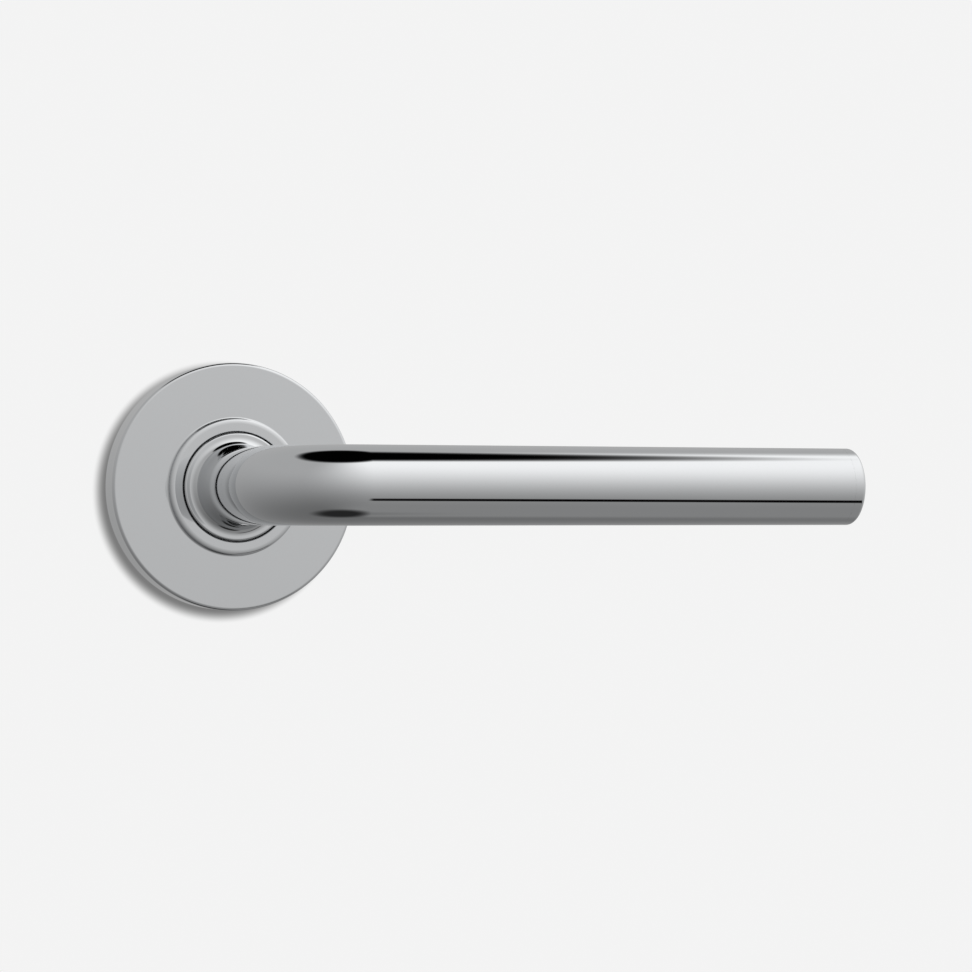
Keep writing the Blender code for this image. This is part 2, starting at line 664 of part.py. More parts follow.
def make_through_bolts(frame):
    """Machine screws with low domed heads, one each side of the spindle."""
    outline = [(0.0, BOLT_HEAD_FRONT), (BOLT_CROWN_RADIUS, BOLT_HEAD_FRONT)]
    outline += [(BOLT_HEAD_RADIUS, BOLT_HEAD_FRONT - BOLT_HEAD_DOME), (BOLT_HEAD_RADIUS, BOLT_HEAD_BACK)]
    outline += [(BOLT_RADIUS, BOLT_HEAD_BACK), (BOLT_RADIUS, BOLT_END + BOLT_TIP)]
    outline += [(BOLT_RADIUS - BOLT_TIP, BOLT_END), (0.0, BOLT_END)]
    first = combine(turned("through_bolt_left", outline, SMALL_SIDES), cross_recess("bolt", BOLT_HEAD_FRONT))
    second = link(bpy.data.objects.new("through_bolt_right", first.data.copy()))
    for obj, side in ((first, -1), (second, 1)):
        obj.location.x = side * BOLT_CENTRES / 2
        finish_piece(obj, "zinc_plate", frame)


def make_bolt_sleeves(frame):
    """Tapped sleeves on the far ends of the bolts, with slotted heads that bear on the door's far face."""
    bore = BOLT_RADIUS + GAP
    head_back = SLEEVE_HEAD_FACE - SLEEVE_HEAD_THICKNESS
    outline = [(bore, SLEEVE_START), (SLEEVE_RADIUS, SLEEVE_START), (SLEEVE_RADIUS, SLEEVE_HEAD_FACE)]
    outline += [(SLEEVE_HEAD_RADIUS, SLEEVE_HEAD_FACE), (SLEEVE_HEAD_RADIUS, head_back + SLEEVE_CHAMFER)]
    outline += [(SLEEVE_HEAD_RADIUS - SLEEVE_CHAMFER, head_back), (0.0, head_back)]
    outline += [(0.0, SLEEVE_BORE_END), (bore, SLEEVE_BORE_END)]
    first = turned("bolt_sleeve_left", outline, SMALL_SIDES, ring=True)
    wide, half = SLEEVE_HEAD_RADIUS + CUT_MARGIN, SLOT_WIDTH / 2
    low = (-wide, -half, head_back - CUT_MARGIN)
    high = (wide, half, head_back + SLOT_DEPTH / 2)
    combine(first, [box_cutter("sleeve_slot", low, high)])
    second = link(bpy.data.objects.new("bolt_sleeve_right", first.data.copy()))
    for obj, side in ((first, -1), (second, 1)):
        obj.location.x = side * BOLT_CENTRES / 2
        finish_piece(obj, "zinc_plate", frame)


def make_wood_screws(frame):
    """Countersunk wood screws near the plate's rim."""
    neck = SCREW_HEAD_FRONT - SCREW_HEAD_HEIGHT
    outline = [(0.0, SCREW_HEAD_FRONT), (SCREW_HEAD_RADIUS, SCREW_HEAD_FRONT)]
    outline += [(SCREW_HEAD_RADIUS, SCREW_HEAD_FRONT - SCREW_HEAD_RIM), (SCREW_RADIUS, neck)]
    outline += [(SCREW_RADIUS, SCREW_POINT_START), (0.0, SCREW_END)]
    first = combine(turned("wood_screw_1", outline, SMALL_SIDES), cross_recess("screw", SCREW_HEAD_FRONT))
    for number, angle in enumerate(SCREW_ANGLES, 1):
        obj = first
        if number > 1:
            obj = link(bpy.data.objects.new(f"wood_screw_{number}", first.data.copy()))
        obj.location = (*polar(SCREW_CIRCLE, math.radians(angle)), 0.0)
        finish_piece(obj, "brass", frame)


def main():
    base = new_frame("rose_base_frame")
    lever = new_frame("lever_turn_axis")
    cover = new_frame("rose_cover_slide_axis")
    for make in (make_lever_tube, make_lever_end_cap, make_neck_hub, make_grub_screw, make_spindle):
        make(lever)
    for make in (make_spring_driver, make_back_washer, make_circlip):
        make(lever)
    make_rose_cover(cover)
    for make in (make_mounting_plate, make_bearing_bush, make_thrust_washer, make_return_spring):
        make(base)
    for make in (make_cover_grip_ring, make_through_bolts, make_bolt_sleeves, make_wood_screws):
        make(base)


main()
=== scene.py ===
"""Looks of the door lever handle: smooth chrome outside, plain workshop finishes on the fixings behind it.

World axes: the origin is on the turn axis in the plane of the door's face, +Y runs into the door, the bar
points along +X and +Z is up. A depth is a distance out of the door, so it is -Y.
"""

import math

import bpy
import numpy as np
from mathutils import Matrix, Vector


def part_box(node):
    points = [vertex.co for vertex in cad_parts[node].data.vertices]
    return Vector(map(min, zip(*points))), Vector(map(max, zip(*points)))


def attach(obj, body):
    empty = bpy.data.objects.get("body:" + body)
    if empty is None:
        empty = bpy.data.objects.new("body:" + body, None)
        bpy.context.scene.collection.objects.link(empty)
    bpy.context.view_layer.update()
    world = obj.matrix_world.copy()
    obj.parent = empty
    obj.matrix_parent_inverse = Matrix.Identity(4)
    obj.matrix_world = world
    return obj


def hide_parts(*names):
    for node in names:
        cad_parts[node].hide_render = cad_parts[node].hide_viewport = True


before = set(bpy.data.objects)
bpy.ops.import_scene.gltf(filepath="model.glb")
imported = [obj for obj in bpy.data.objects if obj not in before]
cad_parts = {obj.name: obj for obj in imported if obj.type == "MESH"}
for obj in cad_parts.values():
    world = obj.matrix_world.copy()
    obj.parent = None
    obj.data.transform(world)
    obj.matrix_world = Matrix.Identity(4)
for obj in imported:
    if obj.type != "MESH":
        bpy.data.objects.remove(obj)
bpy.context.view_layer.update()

MM = 0.001

# The space left between pieces that touch or run in each other.
GAP = 0.3 * MM


def node_box(name):
    """Lowest and highest corner of a CAD node as (x, depth, z), rounded to a hundredth of a millimetre."""
    low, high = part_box(name)
    low, high = (low.x, -high.y, low.z), (high.x, -low.y, high.z)
    return [tuple(round(v / MM, 2) * MM for v in corner) for corner in (low, high)]


# Driving sizes, from the CAD nodes.
TUBE_LOW, TUBE_HIGH = node_box("lever_tube")
HUB_LOW, HUB_HIGH = node_box("neck_hub")
ROSE_LOW, ROSE_HIGH = node_box("rose_cover")
CAP_LOW, CAP_HIGH = node_box("lever_end_cap")
SPINDLE_LOW, SPINDLE_HIGH = node_box("spindle")

BAR_RADIUS = TUBE_HIGH[2]
BAR_DEPTH = TUBE_HIGH[1] - BAR_RADIUS
BAR_END = CAP_HIGH[0]
TUBE_START = TUBE_LOW[1] - GAP
SPIGOT_TOP = HUB_HIGH[1]
TAIL_END = HUB_LOW[1]
FLANGE_RADIUS = HUB_HIGH[0]
ROSE_RADIUS = ROSE_HIGH[0]
RING_FACE = ROSE_HIGH[1]

# Sizes that the boxes don't hold.
BAR_WALL = 2.0 * MM
BEND_RADIUS = 15.0 * MM
CAP_THICKNESS = 2.5 * MM
CAP_EDGE = 0.9 * MM
COVE_TOP = 16.0 * MM
COVE_FOOT_RADIUS = 10.4 * MM
COVE_NECK_PULL = 0.85
COVE_FOOT_PULL = 0.6
FLANGE_FRONT = 9.3 * MM
FLANGE_BACK = 6.9 * MM
FLANGE_EDGE = 0.45 * MM
JOURNAL_RADIUS = 7.6 * MM
TAIL_TOP = 1.3 * MM
TAIL_RADIUS = 7.2 * MM
TAIL_HALF_FLAT = 6.5 * MM
GROOVE_RADIUS = 6.6 * MM
GROOVE_FRONT = -0.7 * MM
GROOVE_BACK = -1.7 * MM
SOCKET_WIDTH = 2 * SPINDLE_HIGH[0] + 2 * GAP
ROSE_FACE = 7.0 * MM
ROSE_EDGE = 0.7 * MM
ROSE_WALL = 1.0 * MM
RING_RADIUS = 14.2 * MM
RING_EDGE = 1.0 * MM
RING_EDGE_DROP = 0.35 * MM
RING_FILLET = 0.45 * MM
RING_BORE = FLANGE_RADIUS + GAP
BORE_EDGE = 0.17 * MM

# The bolts through the door: a low domed head with a crossed recess, and a rolled thread.
BOLT_SHANK = 1.95 * MM
BOLT_TIP = 0.6 * MM
BOLT_DOME = 0.9 * MM
BOLT_DOME_EDGE = 8
BOLT_RIM_DROP = 0.775 * MM
BOLT_HEAD_BACK = 3.3 * MM
BOLT_ROW = 0.09 * MM
BOLT_THREAD_DEPTH = 0.36 * MM
BOLT_THREAD_PITCH = 0.7 * MM
BOLT_THREAD_START = -4.0 * MM
RECESS_HALF = 0.45 * MM
RECESS_DEPTH = 1.1 * MM
RECESS_REACH = 1.9 * MM

# The sleeves on the far ends of the bolts.
SLEEVE_BODY = 3.4 * MM
SLEEVE_BORE = 2.25 * MM
SLEEVE_BORE_END = -42.5 * MM
SLEEVE_EDGE = 0.5 * MM
SLEEVE_HEAD = 1.5 * MM
SLEEVE_SLOT_HALF = 0.45 * MM
SLEEVE_SLOT_DEPTH = 0.55 * MM

# The countersunk wood screws.
SCREW_SHANK = 1.6 * MM
SCREW_HEAD_HEIGHT = 2.0 * MM
SCREW_HEAD_RIM = 0.3 * MM
SCREW_POINT_START = -16.0 * MM
SCREW_ROW = 0.12 * MM
SCREW_THREAD_DEPTH = 0.5 * MM
SCREW_THREAD_PITCH = 1.3 * MM
SCREW_THREAD_START = -1.5 * MM

# How finely the pieces are cut.
FINE_SIDES = 256
BAR_SIDES = 160
BEND_STEPS = 96
NECK_STEPS = 4
STRAIGHT_STEPS = 8
COVE_STEPS = 48
ROUNDING_STEPS = 12
DOME_STEPS = 14
RING_EDGE_STEPS = 20
SMALL_STEPS = 8
FIXING_SIDES = 64
SCREW_SIDES = 40
NECK_ROW = 0.4 * MM
SEAM = 0.01 * MM
NEAR_AXIS = 1e-7
NEAR_ROUND = 1e-5
SPOT_DIGITS = 8
THREAD_SHARP = math.radians(40)
THREAD_FADE = 0.2
# A face farther than this from the outline, or turned more than this cosine from it, was made by a cut.
OFF_OUTLINE = 0.05 * MM
SAME_FACING = 0.9

# Finishes: how far the noise moves the roughness, how deep its relief is, and how detailed it is.
ROUGHNESS_SPREAD = 0.25
RELIEF_DEPTH = 0.05 * MM
NOISE_DETAIL = 3.0
CHROME = (0.66, 0.67, 0.68)

# The studio: grey walls that get lighter upwards, one large soft light on the right, a dark ceiling with a
# soft edge, a dark floor, and one black flag low on the right. Bearings run from 0 straight out of the door
# to positive on the right, and heights from -90 below to 90 overhead, in degrees. Brightnesses are display
# values from 0 to 255.
WALL_LOW, WALL_HIGH = 100.0, 160.0
WALL_RISE = (-80.0, 40.0)
LIGHT_LOW, LIGHT_HIGH = 125.0, 240.0
LIGHT_RISE = (-60.0, 60.0)
LIGHT_LEFT, LIGHT_RIGHT = (-60.0, 30.0), (110.0, 140.0)
CEILING = 8.0
CEILING_HEIGHT = (62.0, 70.0)
FLOOR = 40.0
FLOOR_HEIGHT = (-82.0, -70.0)
FLAG = 10.0
FLAG_HEIGHT, FLAG_HALF, FLAG_SOFT = -40.0, 3.0, 1.5
FLAG_LEFT, FLAG_RIGHT = (15.0, 25.0), (45.0, 60.0)
BACKDROP = 243.0
DISPLAY_WHITE = 255.0
DISPLAY_POWER = 2.2
LIGHT_MAP_WIDTH = 1024

# The soft contact shadow round the rose, painted into the board's colour: how far it falls, how dark it is,
# and where its edge fades.
SHADOW_SHIFT = (-1.0 * MM, -1.0 * MM)
SHADOW_DROP = 120.0
SHADOW_EDGE = (-1.0, 2.0)
BOARD_HALF = 1.2
BOARD_DEPTH = 0.2 * MM

# The camera, from a fit to outline points measured in the photograph: a long lens a little over half a metre
# out, to the left of the turn axis.
LENS, SENSOR, NEAREST = 101.19, 36.0, 0.01
CAMERA_PLACE = (-0.142229, -0.563657, -0.005471)
CAMERA_LOOK = (0.33510521, 0.94212926, 0.0098467)


# ---- geometry --------------------------------------------------------------------------------------------


def line(a, b):
    """A straight piece of a turned outline: two (radius, depth) points with the normal on its left."""
    run, rise = b[0] - a[0], b[1] - a[1]
    length = math.hypot(run, rise)
    normal = (-rise / length, run / length)
    return [(a, normal), (b, normal)]


def rows(a, b, pitch):
    """A straight piece of outline in steps of about this pitch."""
    (a, normal), (b, _) = line(a, b)
    steps = max(1, round(math.dist(a, b) / pitch))
    run, rise = b[0] - a[0], b[1] - a[1]
    return [((a[0] + run * i / steps, a[1] + rise * i / steps), normal) for i in range(steps + 1)]


def bow(centre, radii, start, end, steps, hollow=False):
    """A rounding of a turned outline, part of an ellipse. 0 degrees is outwards and 90 is out of the door."""
    made = []
    for i in range(steps + 1):
        a = math.radians(start + (end - start) * i / steps)
        c, s = math.cos(a), math.sin(a)
        tilt = Vector((c / radii[0], s / radii[1])).normalized()
        if hollow:
            tilt = -tilt
        made.append(((centre[0] + radii[0] * c, centre[1] + radii[1] * s), (tilt.x, tilt.y)))
    return made


def sweep_in(start, end, pull_start, pull_end, steps):
    """A hollow curve that leaves start straight down and reaches end running straight outwards."""
    (r0, d0), (r1, d1) = start, end
    corners = [(r0, d0), (r0, d0 + (d1 - d0) * pull_start), (r1 - (r1 - r0) * pull_end, d1), (r1, d1)]
    made = []
    for i in range(steps + 1):
        t = i / steps
        weights = ((1 - t) ** 3, 3 * t * (1 - t) ** 2, 3 * t * t * (1 - t), t ** 3)
        first, middle, last = 3 * (1 - t) ** 2, 6 * t * (1 - t), 3 * t * t
        slopes = (-first, first - middle, middle - last, last)
        spot = [sum(w * c[k] for w, c in zip(weights, corners)) for k in (0, 1)]
        run, rise = [sum(w * c[k] for w, c in zip(slopes, corners)) for k in (0, 1)]
        length = math.hypot(run, rise)
        made.append((tuple(spot), (-rise / length, run / length)))
    return made


def revolve(name, strips, sides):
    """A closed piece turned about the turn axis from strips of (spot, normal), each joined to the last."""
    points, faces = [], []
    starts = {}

    def ring_at(spot):
        key = (round(spot[0], SPOT_DIGITS), round(spot[1], SPOT_DIGITS))
        if key not in starts:
            starts[key] = len(points)
            count = 1 if spot[0] < NEAR_AXIS else sides
            for i in range(count):
                a = 2 * math.pi * i / sides
                points.append((spot[0] * math.cos(a), -spot[1], spot[0] * math.sin(a)))
        return starts[key]

    for strip in strips:
        for (p, _), (q, _) in zip(strip, strip[1:]):
            first, second = ring_at(p), ring_at(q)
            for i in range(sides):
                j = (i + 1) % sides
                if p[0] < NEAR_AXIS:
                    faces.append((first, second + i, second + j))
                elif q[0] < NEAR_AXIS:
                    faces.append((first + i, second, first + j))
                else:
                    faces.append((first + i, second + i, second + j, first + j))
    return mesh_object(name, points, faces)


def smooth_as_turned(obj, strips):
    """Gives each face corner on the turned surface the outline's exact normal. Cut faces keep their own."""
    spans = [(p, n, q, m) for strip in strips for (p, n), (q, m) in zip(strip, strip[1:])]
    start = np.array([s[0] for s in spans])
    along = np.array([s[2] for s in spans]) - start
    length = (along ** 2).sum(1)
    mesh = obj.data
    normals = []
    for face in mesh.polygons:
        centre = face.center
        place = np.array((math.hypot(centre.x, centre.z), -centre.y))
        share = np.clip(((place - start) * along).sum(1) / length, 0, 1)
        gap = np.linalg.norm(start + along * share[:, None] - place, axis=1)
        best = int(gap.argmin())
        _, first, _, last = spans[best]
        middle = (first[0] + last[0], first[1] + last[1])
        around = Vector((centre.x, 0.0, centre.z)).normalized()
        facing = Vector((around.x * middle[0], -middle[1], around.z * middle[0])).normalized()
        if gap[best] > OFF_OUTLINE or facing.dot(face.normal) < SAME_FACING:
            normals.extend([tuple(face.normal)] * len(face.vertices))
            continue
        for index in face.vertices:
            spot = mesh.vertices[index].co
            reach = math.hypot(spot.x, spot.z)
            from_start = np.array((reach, -spot.y)) - start[best]
            t = float(np.clip((from_start @ along[best]) / length[best], 0, 1))
            out, up = (first[k] + (last[k] - first[k]) * t for k in (0, 1))
            side = Vector((spot.x, 0.0, spot.z)).normalized() if reach > NEAR_AXIS else around
            normals.append(tuple(Vector((side.x * out, -up, side.z * out)).normalized()))
    mesh.normals_split_custom_set(normals)
    return obj


def block(name, low, high):
    """A box between two (x, depth, z) corners, used as a cutter."""
    depths, heights = (high[1], low[1]), (low[2], high[2])
    corners = [(x, -depth, z) for x in (low[0], high[0]) for depth in depths for z in heights]
    faces = [(0, 1, 3, 2), (4, 6, 7, 5), (0, 4, 5, 1), (2, 3, 7, 6), (0, 2, 6, 4), (1, 5, 7, 3)]
    return mesh_object(name, corners, faces)


def cut(obj, tools):
    """Cuts the tools out of a piece and throws them away."""
    for tool in tools:
        step = obj.modifiers.new(tool.name, "BOOLEAN")
        step.solver = "EXACT"
        step.object = tool
    bpy.context.view_layer.update()
    graph = bpy.context.evaluated_depsgraph_get()
    mesh = bpy.data.meshes.new_from_object(obj.evaluated_get(graph))
    obj.modifiers.clear()
    obj.data = mesh
    for tool in tools:
        bpy.data.objects.remove(tool, do_unlink=True)
    return obj


def cut_thread(obj, radius, drop, pitch, front, back):
    """Sinks a helical groove into the turned surface at this radius, between two depths."""
    for vertex in obj.data.vertices:
        reach, depth = math.hypot(vertex.co.x, vertex.co.z), -vertex.co.y
        if depth > front or depth < back or reach < NEAR_ROUND:
            continue
        fade = min(1.0, (front - depth) / pitch, (depth - back) / pitch + THREAD_FADE)
        phase = (depth / pitch + math.atan2(vertex.co.z, vertex.co.x) / (2 * math.pi)) % 1.0
        sunk = reach - drop * fade * min(1.0, reach / radius) * (1 - abs(2 * phase - 1))
        vertex.co.x *= sunk / reach
        vertex.co.z *= sunk / reach
    obj.data.shade_smooth()
    obj.data.set_sharp_from_angle(angle=THREAD_SHARP)
    return obj


def mesh_object(name, points, faces, normals=None):
    mesh = bpy.data.meshes.new(name)
    mesh.from_pydata(points, [], faces)
    mesh.update()
    mesh.shade_smooth()
    if normals is not None:
        mesh.normals_split_custom_set(normals)
    made = bpy.data.objects.new(name, mesh)
    bpy.context.scene.collection.objects.link(made)
    return made


def bar_route():
    """Centreline points of the neck and bar with the direction at each, from the hub to the end cap."""
    bend_start = BAR_DEPTH - BEND_RADIUS
    run = bend_start - TUBE_START
    route = [((0.0, TUBE_START + run * i / NECK_STEPS), 0.0) for i in range(NECK_STEPS)]
    for i in range(BEND_STEPS + 1):
        a = math.pi / 2 * i / BEND_STEPS
        route.append(((BEND_RADIUS * (1 - math.cos(a)), bend_start + BEND_RADIUS * math.sin(a)), a))
    end = BAR_END - CAP_THICKNESS
    for i in range(1, STRAIGHT_STEPS + 1):
        route.append(((BEND_RADIUS + (end - BEND_RADIUS) * i / STRAIGHT_STEPS, BAR_DEPTH), math.pi / 2))
    return route


def make_tube():
    """The hollow bar, an outer and an inner skin joined at both ends."""
    route = bar_route()
    points, radial = [], []
    for radius in (BAR_RADIUS, BAR_RADIUS - BAR_WALL):
        for (x, depth), turn in route:
            across = (math.cos(turn), -math.sin(turn))
            for i in range(BAR_SIDES):
                a = 2 * math.pi * i / BAR_SIDES
                side, up = math.cos(a), math.sin(a)
                normal = (across[0] * side, -across[1] * side, up)
                points.append((x + radius * normal[0], -depth + radius * normal[1], radius * normal[2]))
                radial.append(normal)
    rings = len(route)
    shift = rings * BAR_SIDES
    faces, normals = [], []

    def quad(a, b, c, d, sign=1, flat=None):
        faces.append((a, b, c, d))
        for v in (a, b, c, d):
            normals.append(flat or tuple(sign * n for n in radial[v]))

    for ring in range(rings - 1):
        for i in range(BAR_SIDES):
            j = (i + 1) % BAR_SIDES
            a, b = ring * BAR_SIDES + i, ring * BAR_SIDES + j
            c, d = b + BAR_SIDES, a + BAR_SIDES
            quad(a, b, c, d)
            quad(shift + b, shift + a, shift + d, shift + c, sign=-1)
    for i in range(BAR_SIDES):
        j = (i + 1) % BAR_SIDES
        last = shift - BAR_SIDES
        quad(j, i, shift + i, shift + j, flat=(0.0, 1.0, 0.0))
        quad(last + i, last + j, shift + last + j, shift + last + i, flat=(1.0, 0.0, 0.0))
    return mesh_object("lever_bar", points, faces, normals)


def make_cap():
    """The flat end of the bar with its rounded rim and the plug behind it."""
    plug = BAR_RADIUS - BAR_WALL - GAP
    back = CAP_LOW[0] - CAP_HIGH[0]
    seam = -CAP_THICKNESS + SEAM
    r = BAR_RADIUS
    strips = [
        line((0.0, 0.0), (r - CAP_EDGE, 0.0)),
        bow((r - CAP_EDGE, -CAP_EDGE), (CAP_EDGE, CAP_EDGE), 90, 0, DOME_STEPS),
        line((r, -CAP_EDGE), (r, seam)),
        line((r, seam), (plug, seam)),
        line((plug, seam), (plug, back)),
        line((plug, back), (0.0, back)),
    ]
    cap = smooth_as_turned(revolve("lever_end", strips, BAR_SIDES), strips)
    place = Matrix.Translation((BAR_END, -BAR_DEPTH, 0.0))
    cap.matrix_world = place @ Matrix.Rotation(math.pi / 2, 4, "Z")
    return cap


def make_hub():
    """The turned neck: spigot, neck, hollow cove, flange, journal and tail."""
    spigot = BAR_RADIUS - BAR_WALL - GAP
    top = TUBE_START - SEAM
    r, edge = FLANGE_RADIUS, FLANGE_EDGE
    foot = (COVE_FOOT_RADIUS, FLANGE_FRONT)
    strips = [
        line((0.0, SPIGOT_TOP), (spigot, SPIGOT_TOP)),
        line((spigot, SPIGOT_TOP), (spigot, top)),
        line((spigot, top), (BAR_RADIUS, top)),
        rows((BAR_RADIUS, top), (BAR_RADIUS, COVE_TOP), NECK_ROW),
        sweep_in((BAR_RADIUS, COVE_TOP), foot, COVE_NECK_PULL, COVE_FOOT_PULL, COVE_STEPS),
        line(foot, (r - edge, FLANGE_FRONT)),
        bow((r - edge, FLANGE_FRONT - edge), (edge, edge), 90, 0, ROUNDING_STEPS),
        line((r, FLANGE_FRONT - edge), (r, FLANGE_BACK)),
        line((r, FLANGE_BACK), (JOURNAL_RADIUS, FLANGE_BACK)),
        line((JOURNAL_RADIUS, FLANGE_BACK), (JOURNAL_RADIUS, TAIL_TOP)),
        line((JOURNAL_RADIUS, TAIL_TOP), (TAIL_RADIUS, TAIL_TOP)),
        line((TAIL_RADIUS, TAIL_TOP), (TAIL_RADIUS, GROOVE_FRONT)),
        line((TAIL_RADIUS, GROOVE_FRONT), (GROOVE_RADIUS, GROOVE_FRONT)),
        line((GROOVE_RADIUS, GROOVE_FRONT), (GROOVE_RADIUS, GROOVE_BACK)),
        line((GROOVE_RADIUS, GROOVE_BACK), (TAIL_RADIUS, GROOVE_BACK)),
        line((TAIL_RADIUS, GROOVE_BACK), (TAIL_RADIUS, TAIL_END)),
        line((TAIL_RADIUS, TAIL_END), (0.0, TAIL_END)),
    ]
    hub = revolve("lever_neck", strips, FINE_SIDES)
    half, below, beyond = SOCKET_WIDTH / 2, TAIL_END - MM, 2 * TAIL_RADIUS
    socket = block("socket", (-half, below, -half), (half, SPINDLE_HIGH[1] + 2 * GAP, half))
    upper = block("upper_flat", (-beyond, below, TAIL_HALF_FLAT), (beyond, TAIL_TOP, beyond))
    lower = block("lower_flat", (-beyond, below, -beyond), (beyond, TAIL_TOP, -TAIL_HALF_FLAT))
    cut(hub, [socket, upper, lower, grub_hole()])
    return smooth_as_turned(hub, strips)


def grub_hole():
    """The cutter for the clamping screw's hole, from the underside of the neck into the socket."""
    low, high = node_box("grub_screw")
    radius = high[0] + GAP
    strips = [
        line((0.0, 2 * BAR_RADIUS), (radius, 2 * BAR_RADIUS)),
        line((radius, 2 * BAR_RADIUS), (radius, 0.0)),
        line((radius, 0.0), (0.0, 0.0)),
    ]
    hole = revolve("grub_hole", strips, FIXING_SIDES)
    place = Matrix.Translation((0.0, -(low[1] + high[1]) / 2, 0.0))
    hole.matrix_world = place @ Matrix.Rotation(math.pi / 2, 4, "X")
    return hole


def make_rose():
    """The pressed cover: rim, face, raised ring and bore, one wall thick."""
    inner_ring = RING_RADIUS - ROSE_WALL
    r, face, ring = ROSE_RADIUS, ROSE_FACE, RING_FACE
    drop, fillet = RING_EDGE_DROP, RING_FILLET
    inside = face - ROSE_WALL
    strips = [
        bow((RING_BORE + BORE_EDGE, ring - BORE_EDGE), (BORE_EDGE, BORE_EDGE), 180, 90, ROUNDING_STEPS),
        line((RING_BORE + BORE_EDGE, ring), (RING_RADIUS - RING_EDGE, ring)),
        bow((RING_RADIUS - RING_EDGE, ring - drop), (RING_EDGE, drop), 90, 0, RING_EDGE_STEPS),
        line((RING_RADIUS, ring - drop), (RING_RADIUS, face + fillet)),
        bow((RING_RADIUS + fillet, face + fillet), (fillet, fillet), 180, 270, SMALL_STEPS, hollow=True),
        line((RING_RADIUS + fillet, face), (r - ROSE_EDGE, face)),
        bow((r - ROSE_EDGE, face - ROSE_EDGE), (ROSE_EDGE, ROSE_EDGE), 90, 0, ROUNDING_STEPS),
        line((r, face - ROSE_EDGE), (r, 0.0)),
        line((r, 0.0), (r - ROSE_WALL, 0.0)),
        line((r - ROSE_WALL, 0.0), (r - ROSE_WALL, inside)),
        line((r - ROSE_WALL, inside), (inner_ring, inside)),
        line((inner_ring, inside), (inner_ring, ring - ROSE_WALL)),
        line((inner_ring, ring - ROSE_WALL), (RING_BORE, ring - ROSE_WALL)),
        line((RING_BORE, ring - ROSE_WALL), (RING_BORE, ring - BORE_EDGE)),
    ]
    return smooth_as_turned(revolve("rose_shell", strips, FINE_SIDES), strips)


def make_bolt(side):
    """A machine screw with a low domed head and a rolled thread."""
    low, high = node_box(f"through_bolt_{side}")
    middle = (low[0] + high[0]) / 2
    head, shank, tip, back = high[2], BOLT_SHANK, BOLT_TIP, BOLT_HEAD_BACK
    rim = (head * math.cos(math.radians(BOLT_DOME_EDGE)), high[1] - BOLT_RIM_DROP)
    strips = [
        bow((0.0, high[1] - BOLT_DOME), (head, BOLT_DOME), 90, BOLT_DOME_EDGE, DOME_STEPS),
        line(rim, (head, back)),
        line((head, back), (shank, back)),
        rows((shank, back), (shank, low[1] + tip), BOLT_ROW),
        line((shank, low[1] + tip), (shank - tip, low[1])),
        line((shank - tip, low[1]), (0.0, low[1])),
    ]
    bolt = cut(revolve(f"bolt_{side}", strips, SCREW_SIDES), cross_recess(high[1]))
    cut_thread(bolt, shank, BOLT_THREAD_DEPTH, BOLT_THREAD_PITCH, BOLT_THREAD_START, low[1] + tip)
    bolt.location.x = middle
    return bolt


def cross_recess(front):
    """Cutters for the crossed slots in a screw head whose top is at this depth."""
    half, reach = RECESS_HALF, RECESS_REACH
    low, high = front - RECESS_DEPTH, front + MM
    return [
        block("slot_across", (-reach, low, -half), (reach, high, half)),
        block("slot_upright", (-half, low, -reach), (half, high, reach)),
    ]


def make_sleeve(side):
    """The tapped sleeve on the far end of a bolt, with its slotted head."""
    low, high = node_box(f"bolt_sleeve_{side}")
    head, body, bore, edge = high[2], SLEEVE_BODY, SLEEVE_BORE, SLEEVE_EDGE
    face = low[1] + SLEEVE_HEAD
    strips = [
        line((bore, high[1]), (body - edge / 2, high[1])),
        line((body - edge / 2, high[1]), (body, high[1] - edge / 2)),
        line((body, high[1] - edge / 2), (body, face)),
        line((body, face), (head, face)),
        line((head, face), (head, low[1] + edge)),
        bow((head - edge, low[1] + edge), (edge, edge), 0, -90, SMALL_STEPS),
        line((head - edge, low[1]), (0.0, low[1])),
        line((0.0, SLEEVE_BORE_END), (bore, SLEEVE_BORE_END)),
        line((bore, SLEEVE_BORE_END), (bore, high[1])),
    ]
    sleeve = revolve(f"sleeve_{side}", strips, FIXING_SIDES)
    half, slot_end = SLEEVE_SLOT_HALF, low[1] + SLEEVE_SLOT_DEPTH
    cut(sleeve, [block("driver_slot", (-2 * head, low[1] - MM, -half), (2 * head, slot_end, half))])
    smooth_as_turned(sleeve, strips)
    sleeve.location.x = (low[0] + high[0]) / 2
    return sleeve


def make_wood_screw(number):
    """A countersunk wood screw with a coarse thread running out at its point."""
    low, high = node_box(f"wood_screw_{number}")
    head, shank, neck = (high[0] - low[0]) / 2, SCREW_SHANK, high[1] - SCREW_HEAD_HEIGHT
    rim = high[1] - SCREW_HEAD_RIM
    strips = [
        line((0.0, high[1]), (head, high[1])),
        line((head, high[1]), (head, rim)),
        line((head, rim), (shank, neck)),
        rows((shank, neck), (shank, SCREW_POINT_START), SCREW_ROW),
        rows((shank, SCREW_POINT_START), (0.0, low[1]), SCREW_ROW),
    ]
    screw = cut(revolve(f"countersunk_screw_{number}", strips, SCREW_SIDES), cross_recess(high[1]))
    cut_thread(screw, shank, SCREW_THREAD_DEPTH, SCREW_THREAD_PITCH, SCREW_THREAD_START, low[1])
    screw.location = ((low[0] + high[0]) / 2, 0.0, (low[2] + high[2]) / 2)
    return screw


# ---- finishes --------------------------------------------------------------------------------------------


